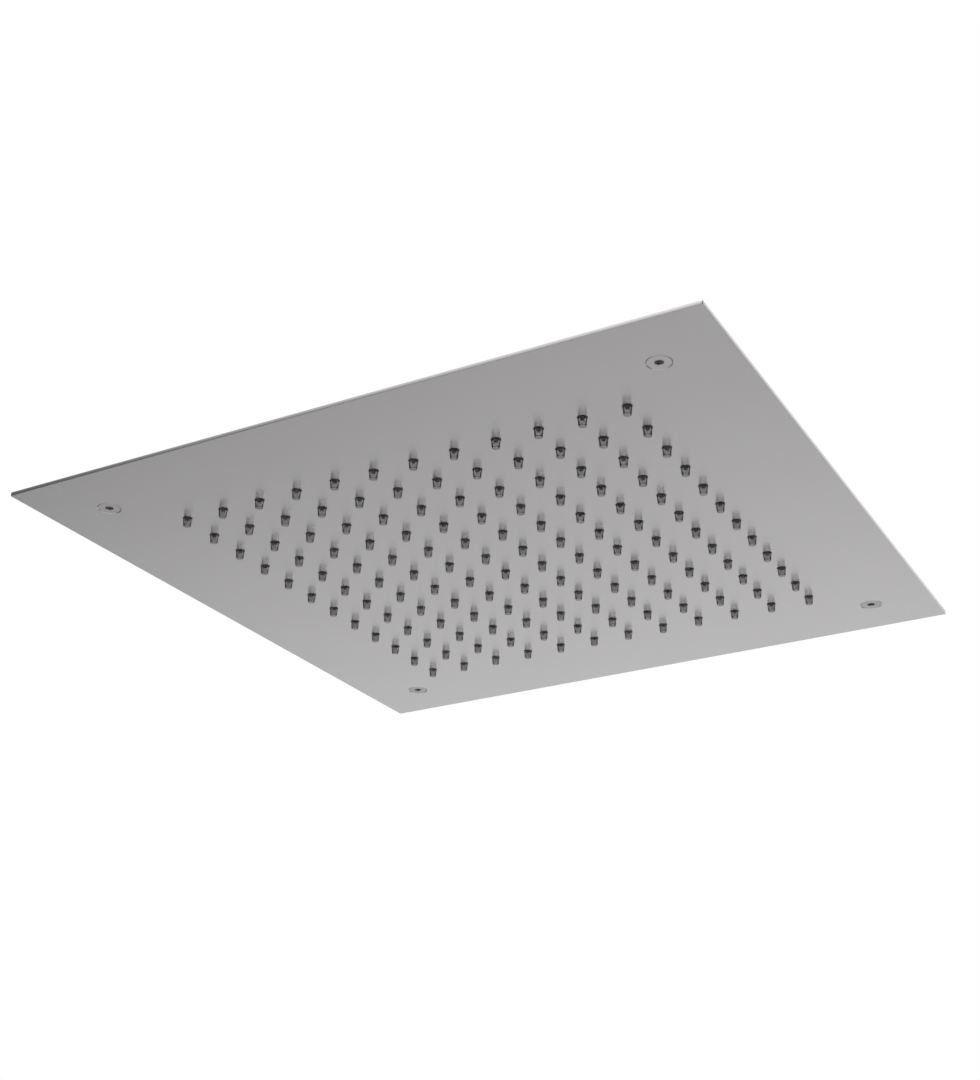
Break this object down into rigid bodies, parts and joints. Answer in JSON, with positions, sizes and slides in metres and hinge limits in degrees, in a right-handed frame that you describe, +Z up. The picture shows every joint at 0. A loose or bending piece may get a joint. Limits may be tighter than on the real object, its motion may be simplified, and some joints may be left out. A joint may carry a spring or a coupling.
{
  "type": "rain shower head",
  "caption": "Square rain shower head that sits flush with a ceiling: flat satin steel plate with a grid of soft nozzles, corner screws and a water chamber behind.",
  "frame": {"origin": "centre of the face plate's back, which lies on the ceiling", "axes": "+Z up into the ceiling along the inlet, X along the nozzle strips, Y across them"},
  "size_m": [0.38, 0.38, 0.0478],
  "materials": {
    "satin_steel": "satin",
    "sheet_steel": "cold rolled",
    "turned_steel": "turned",
    "screw_steel": "pickled",
    "silicone": "translucent, smooth",
    "gasket_rubber": "matt"
  },
  "bodies": {
    "root": {"face_plate": "satin_steel", "fixing_screws": "screw_steel", "chamber_pan": "sheet_steel", "inlet_baffle": "sheet_steel", "inlet_socket": "turned_steel", "weld_studs": "screw_steel", "stud_nuts": "screw_steel", "chamber_gasket": "gasket_rubber", "nozzle_strip_01": "silicone", "nozzle_strip_02": "silicone", "nozzle_strip_03": "silicone", "nozzle_strip_04": "silicone", "nozzle_strip_05": "silicone", "nozzle_strip_06": "silicone", "nozzle_strip_07": "silicone", "nozzle_strip_08": "silicone", "nozzle_strip_09": "silicone", "nozzle_strip_10": "silicone", "nozzle_strip_11": "silicone", "nozzle_strip_12": "silicone"}
  },
  "joints": []
}
